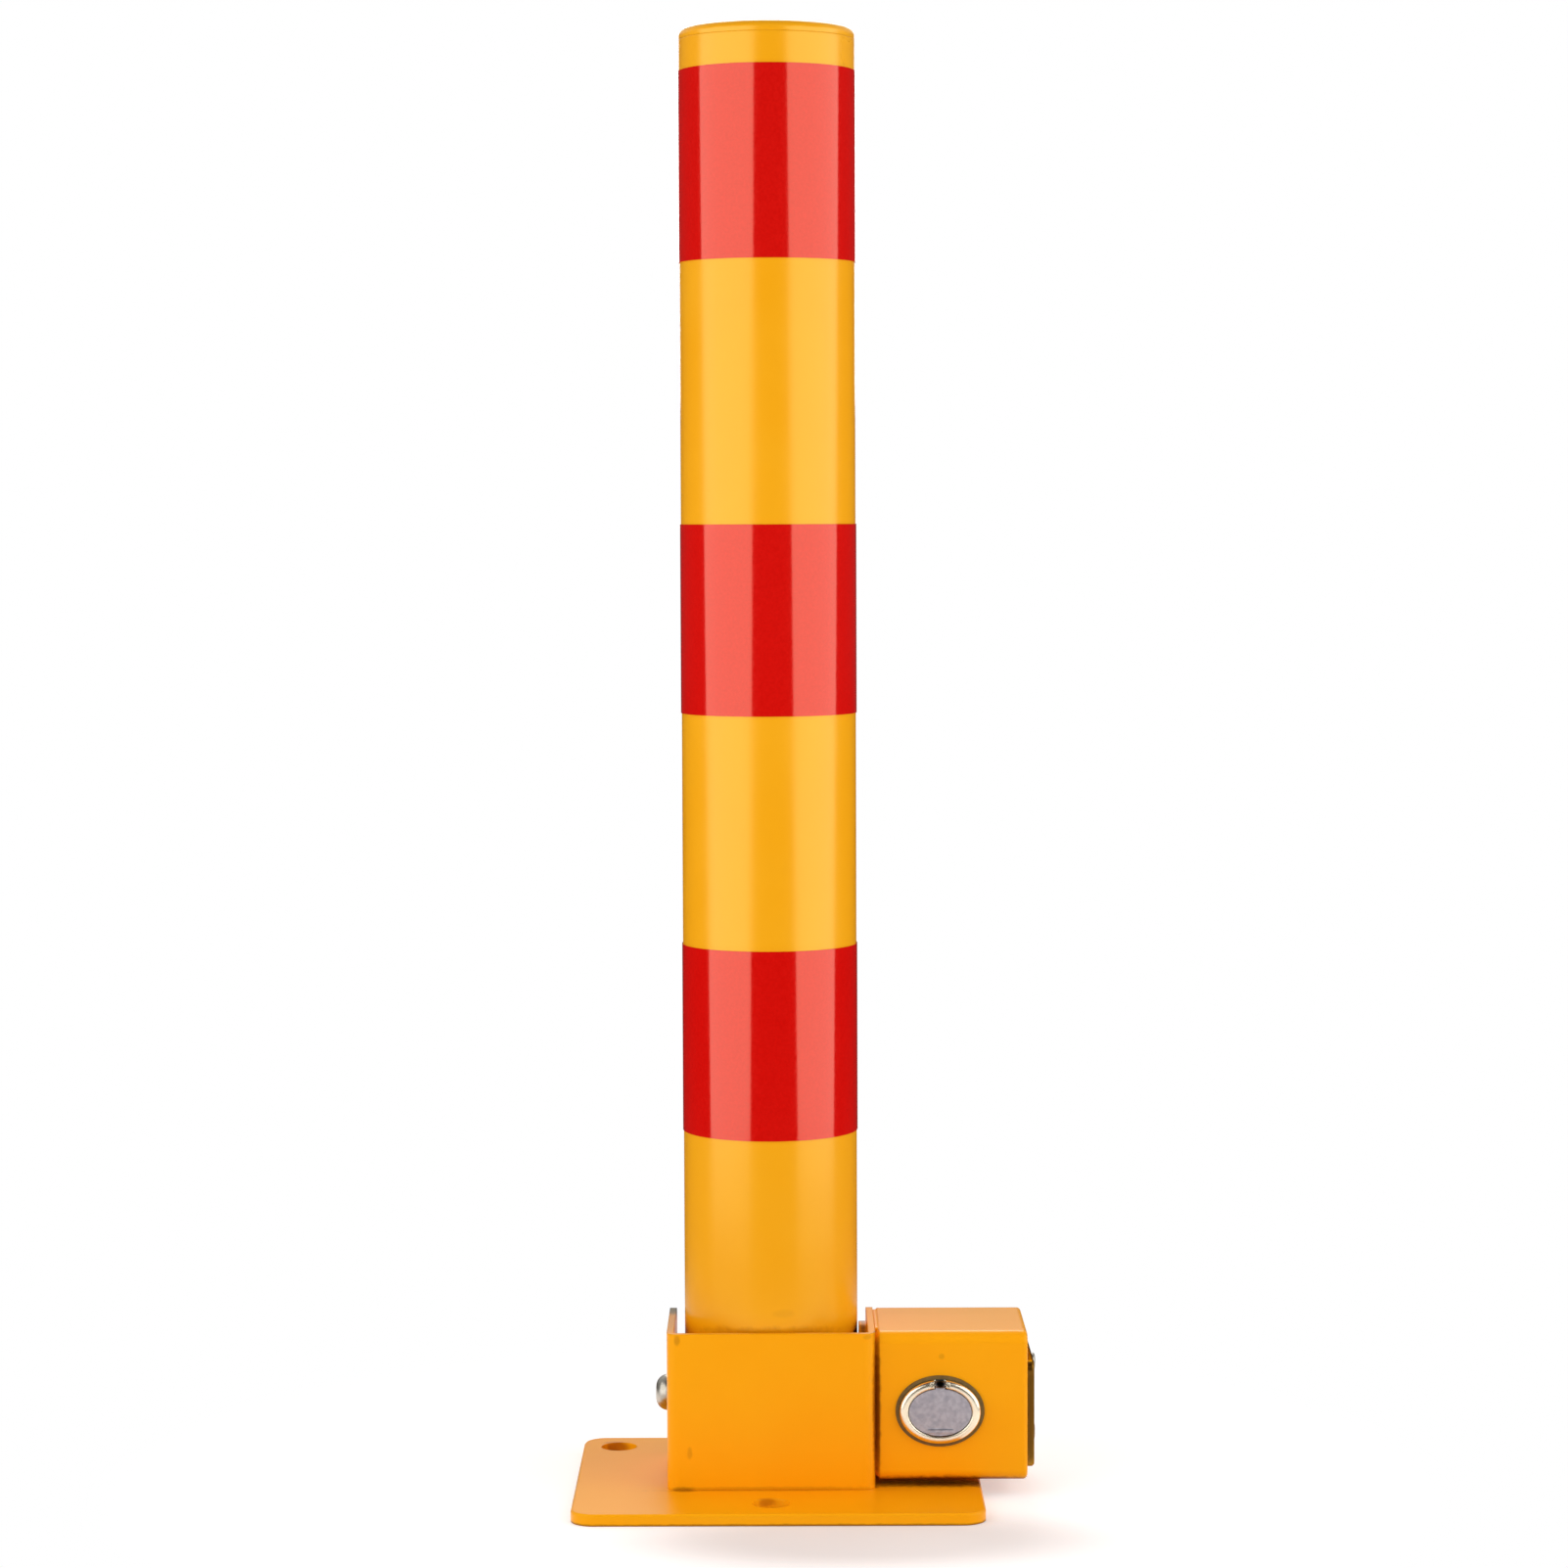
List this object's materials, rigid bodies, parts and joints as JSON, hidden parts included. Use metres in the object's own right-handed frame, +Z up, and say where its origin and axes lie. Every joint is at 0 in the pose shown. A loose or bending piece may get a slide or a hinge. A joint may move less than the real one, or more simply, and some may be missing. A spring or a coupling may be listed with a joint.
{
  "type": "folding parking post",
  "caption": "Round steel parking post with red reflective bands that stands in a hinged bracket on a base plate, folds back flat and is held upright by a key-operated deadbolt.",
  "frame": {"origin": "on the underside of the base plate, under the axis of the upright post", "axes": "+Z up along the upright post, +X towards the lock housing, +Y the way the post folds"},
  "size_m": [0.2008, 0.143, 0.634],
  "materials": {
    "yellow_paint": "glossy orange-yellow powder coat",
    "red_film": "glossy red reflective film",
    "yellow_zinc": "yellow-passivated zinc plate",
    "black_rubber": "matt moulded",
    "zinc_steel": "bright zinc plate",
    "chrome_plate": "polished chrome",
    "satin_steel": "satin",
    "plug_brass": "machined"
  },
  "bodies": {
    "base": {"base_plate": "yellow_paint", "hinge_bracket": "yellow_paint", "lock_housing": "yellow_paint", "cover_tabs": "yellow_paint", "end_cover": "yellow_zinc", "end_cover_screws": "zinc_steel", "hinge_bolt": "zinc_steel", "hinge_washer": "zinc_steel", "hinge_nut": "zinc_steel", "bolt_guide": "yellow_paint", "bolt_collar": "yellow_paint", "lock_body": "chrome_plate", "lock_gasket": "black_rubber", "lock_nut": "zinc_steel", "key_cover_pin": "zinc_steel"},
    "post": {"post_tube": "yellow_paint", "post_cap": "yellow_paint", "reflective_band_top": "red_film", "reflective_band_middle": "red_film", "reflective_band_bottom": "red_film", "hinge_sleeve": "zinc_steel"},
    "plug": {"lock_plug": "plug_brass", "lock_cam": "zinc_steel", "cam_screw": "zinc_steel"},
    "bolt": {"deadbolt": "zinc_steel"},
    "cover": {"key_cover": "satin_steel"}
  },
  "joints": [
    {"name": "post_fold", "type": "hinge", "parent": "base", "child": "post", "pos_m": [0, 0.01, 0.0365], "axis": [-1, 0, 0], "range_deg": [0, 90]},
    {"name": "plug_turn", "type": "hinge", "parent": "base", "child": "plug", "pos_m": [0.073, -0.0375, 0.0383], "axis": [0, -1, 0], "range_deg": [0, 90]},
    {"name": "bolt_slide", "type": "slide", "parent": "base", "child": "bolt", "axis": [-1, 0, 0], "range_m": [0, 0.01414]},
    {"name": "key_cover_flip", "type": "hinge", "parent": "base", "child": "cover", "pos_m": [0.073, -0.0403, 0.0503], "axis": [-1, 0, 0], "range_deg": [0, 110]}
  ],
  "couplings": [
    {"joint": "plug_turn", "follows": "bolt_slide", "rad_per_m": 111.07}
  ]
}
